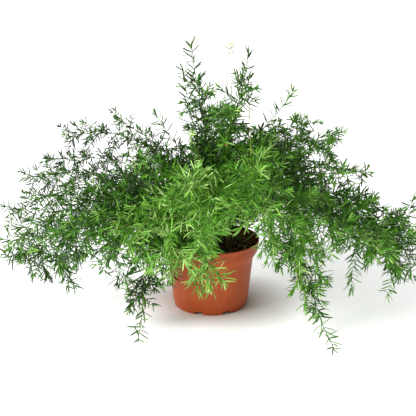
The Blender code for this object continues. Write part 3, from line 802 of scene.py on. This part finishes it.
def makeSoil(material):
    s, p = soilLook, potLook
    edge = potRadius(s["top"] - s["lump"]) - p["wall"] - 0.35 * mm
    bodyTop = p["height"] - p["bandHeight"] - p["stepHeight"]
    bandFoot = bodyTop + p["stepHeight"]
    low = 60 * mm
    inset = p["wall"] + 0.7 * mm
    bm = bmesh.new()
    spots = [(0, 0, s["top"])]
    spots += [(edge * ((k + 1) / s["rings"]) ** 0.8, 0, s["top"]) for k in range(s["rings"])]
    for height in (bandFoot, bodyTop):
        spots.append((potRadius(height) - inset, 0, height + p["wall"] / 2))
    spots += [(potRadius(low) - inset, 0, low), (0, 0, low)]
    corners = [bm.verts.new(spot) for spot in spots]
    for pair in zip(corners, corners[1:]):
        bm.edges.new(pair)
    bmesh.ops.spin(bm, geom=bm.verts[:] + bm.edges[:], axis=(0, 0, 1), cent=(0, 0, 0),
                   angle=math.tau, steps=s["sides"], use_merge=True)
    bmesh.ops.remove_doubles(bm, verts=bm.verts, dist=0.01 * mm)
    for vert in bm.verts:
        if vert.co.z > s["top"] - mm:
            x, y, _ = vert.co
            crumb = noise.fractal(Vector((x, y, 0.3)) / s["crumbSize"], 1.0, 2.0, 4)
            vert.co.z = soilHeight(x, y) + s["crumb"] * crumb
    bmesh.ops.recalc_face_normals(bm, faces=bm.faces)
    soil = finishPiece("soil", bm, [material])
    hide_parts("potting_mix")


def scatter(name, count, makeOne, material, lift, smooth, seed):
    # bits strewn evenly over the soil, each turned and tipped at random
    draw = np.random.default_rng(seed)
    reach = potRadius(soilLook["top"]) - potLook["wall"] - 4 * mm
    bm = bmesh.new()
    for _ in range(count):
        across = reach * math.sqrt(draw.uniform(0, 1))
        way = draw.uniform(0, math.tau)
        x, y = math.cos(way) * across, math.sin(way) * across
        bit = bmesh.new()
        makeOne(bit, draw)
        tilt = Matrix.Rotation(draw.normal(0, litterTilt), 4, "X")
        tilt = tilt @ Matrix.Rotation(draw.normal(0, litterTilt), 4, "Y")
        turn = Matrix.Rotation(draw.uniform(0, math.tau), 4, "Z") @ tilt
        place = Matrix.Translation((x, y, soilHeight(x, y) + lift * draw.uniform(0.6, 1.5)))
        bmesh.ops.transform(bit, matrix=place @ turn, verts=bit.verts)
        bmesh.ops.recalc_face_normals(bit, faces=bit.faces)
        mesh = bpy.data.meshes.new("bit")
        bit.to_mesh(mesh)
        bit.free()
        bm.from_mesh(mesh)
        bpy.data.meshes.remove(mesh)
    piece = finishPiece(name, bm, [material], smooth)


def barkChip(bit, draw):
    # length, breadth and thickness, then a rough surface
    size = Vector((draw.uniform(2.5, 8), draw.uniform(1.6, 4), draw.uniform(0.7, 1.8))) * mm
    bmesh.ops.create_cube(bit, size=1, matrix=Matrix.Diagonal((*size, 1)))
    bmesh.ops.subdivide_edges(bit, edges=bit.edges[:], cuts=1, use_grid_fill=True)
    for vert in bit.verts:
        vert.co += Vector(draw.normal(0, 0.22, 3)) * mm * 1.3


def strawBit(bit, draw):
    length = draw.uniform(6, 20) * mm
    bend = draw.normal(0, 0.3)
    stops = []
    for k in range(4):
        t = k / 3
        spot = Vector((length * (t - 0.5), length * bend * t * t, length * 0.05 * math.sin(3 * t)))
        heading = Vector((1, 2 * bend * t, 0)).normalized()
        stops.append((spot, heading, draw.uniform(0.32, 0.5) * mm))
    growTube(bit, stops, 4)


def paleGrain(bit, draw):
    size = draw.uniform(0.9, 2.1) * mm
    bmesh.ops.create_icosphere(bit, subdivisions=1, radius=size)
    for vert in bit.verts:
        vert.co *= draw.uniform(0.75, 1.2)


def makeStudio():
    s = studio
    scene = bpy.context.scene
    scene.view_settings.view_transform = "Standard"
    lens = bpy.data.cameras.new("portrait")
    lens.lens = s["lens"]
    lens.sensor_width = 36
    camera = bpy.data.objects.new("portrait", lens)
    camera.location = s["cameraPlace"]
    camera.rotation_euler = (math.radians(90 - s["cameraDown"]), 0, 0)
    scene.collection.objects.link(camera)
    scene.camera = camera
    light = bpy.data.lights.new("softSun", "SUN")
    light.energy = s["sunStrength"]
    light.angle = math.radians(s["sunSpread"])
    lamp = bpy.data.objects.new("softSun", light)
    lamp.location = s["sunFrom"]
    lamp.rotation_euler = Vector(s["sunFrom"]).to_track_quat("Z", "Y").to_euler()
    scene.collection.objects.link(lamp)
    world = bpy.data.worlds.new("softRoom")
    world.use_nodes = True
    sky = world.node_tree.nodes["Background"]
    sky.inputs["Color"].default_value = (1, 1, 1, 1)
    # the room is brighter on the window's side
    way = addNode(world.node_tree, "ShaderNodeTexCoord").outputs["Generated"]
    split = addNode(world.node_tree, "ShaderNodeSeparateXYZ")
    fade = addNode(world.node_tree, "ShaderNodeMapRange")
    setRange(fade, -1, 1, s["skyLeft"], s["skyRight"])
    world.node_tree.links.new(way, split.inputs["Vector"])
    world.node_tree.links.new(split.outputs["X"], fade.inputs["Value"])
    # a white wall behind the plant
    wall = addNode(world.node_tree, "ShaderNodeLightPath").outputs["Is Camera Ray"]
    glow = addNode(world.node_tree, "ShaderNodeMath", operation="MAXIMUM")
    world.node_tree.links.new(fade.outputs["Result"], glow.inputs[0])
    world.node_tree.links.new(wall, glow.inputs[1])
    world.node_tree.links.new(glow.outputs["Value"], sky.inputs["Strength"])
    scene.world = world
    bm = bmesh.new()
    bmesh.ops.create_grid(bm, x_segments=1, y_segments=1, size=s["floorSize"] / 2)
    mesh = bpy.data.meshes.new("floor")
    bm.to_mesh(mesh)
    bm.free()
    material, tree, shader = newMaterial("paleFloor", 0.9, 0.1)
    shader.inputs["Base Color"].default_value = s["floor"]
    shader.inputs["Emission Color"].default_value = s["floor"]
    # painted light: the floor glows as if lit from below like a light table, which lifts the shade
    # on it; the glow fades out near the pot, at these distances from its axis, so that it stays
    # dark under the pot
    place = addNode(tree, "ShaderNodeTexCoord")
    across = addNode(tree, "ShaderNodeVectorMath", operation="LENGTH")
    glow = addNode(tree, "ShaderNodeMapRange")
    setRange(glow, s["glowFrom"], s["glowTo"], 0, s["floorGlow"])
    tree.links.new(place.outputs["Object"], across.inputs[0])
    tree.links.new(across.outputs["Value"], glow.inputs["Value"])
    tree.links.new(glow.outputs["Result"], shader.inputs["Emission Strength"])
    mesh.materials.append(material)
    floor = bpy.data.objects.new("floor", mesh)
    scene.collection.objects.link(floor)


makeStudio()
print("studio ready")
makePot(potMaterial())
makeSoil(soilMaterial())
print("pot and soil ready")
scatter("bark_chips", soilLook["chips"], barkChip,
        litterMaterial("barkChips", (0.035, 0.017, 0.010, 1), (0.24, 0.11, 0.050, 1), 0.85, 700),
        0.6 * mm, False, 21)
scatter("straw_bits", soilLook["straws"], strawBit,
        litterMaterial("strawBits", (0.50, 0.30, 0.12, 1), (0.90, 0.68, 0.36, 1), 0.7, 900),
        1.1 * mm, True, 22)
scatter("pale_grains", soilLook["grains"], paleGrain,
        litterMaterial("paleGrains", (0.42, 0.42, 0.40, 1), (0.72, 0.71, 0.68, 1), 0.9, 800),
        0.8 * mm, False, 23)
print("litter ready")
leaves = needleTemplates()
stemAndNeedles = [stemMaterial(), needleMaterial()]
total = 0
for node in arches:
    total += growSpray(node, archLine(node), leaves, stemAndNeedles)
for node in trails:
    total += growSpray(node, trailLine(node), leaves, stemAndNeedles)
for leaf in leaves:
    bpy.data.meshes.remove(leaf)
makeStalk()
print("sprays ready:", total, "needles")
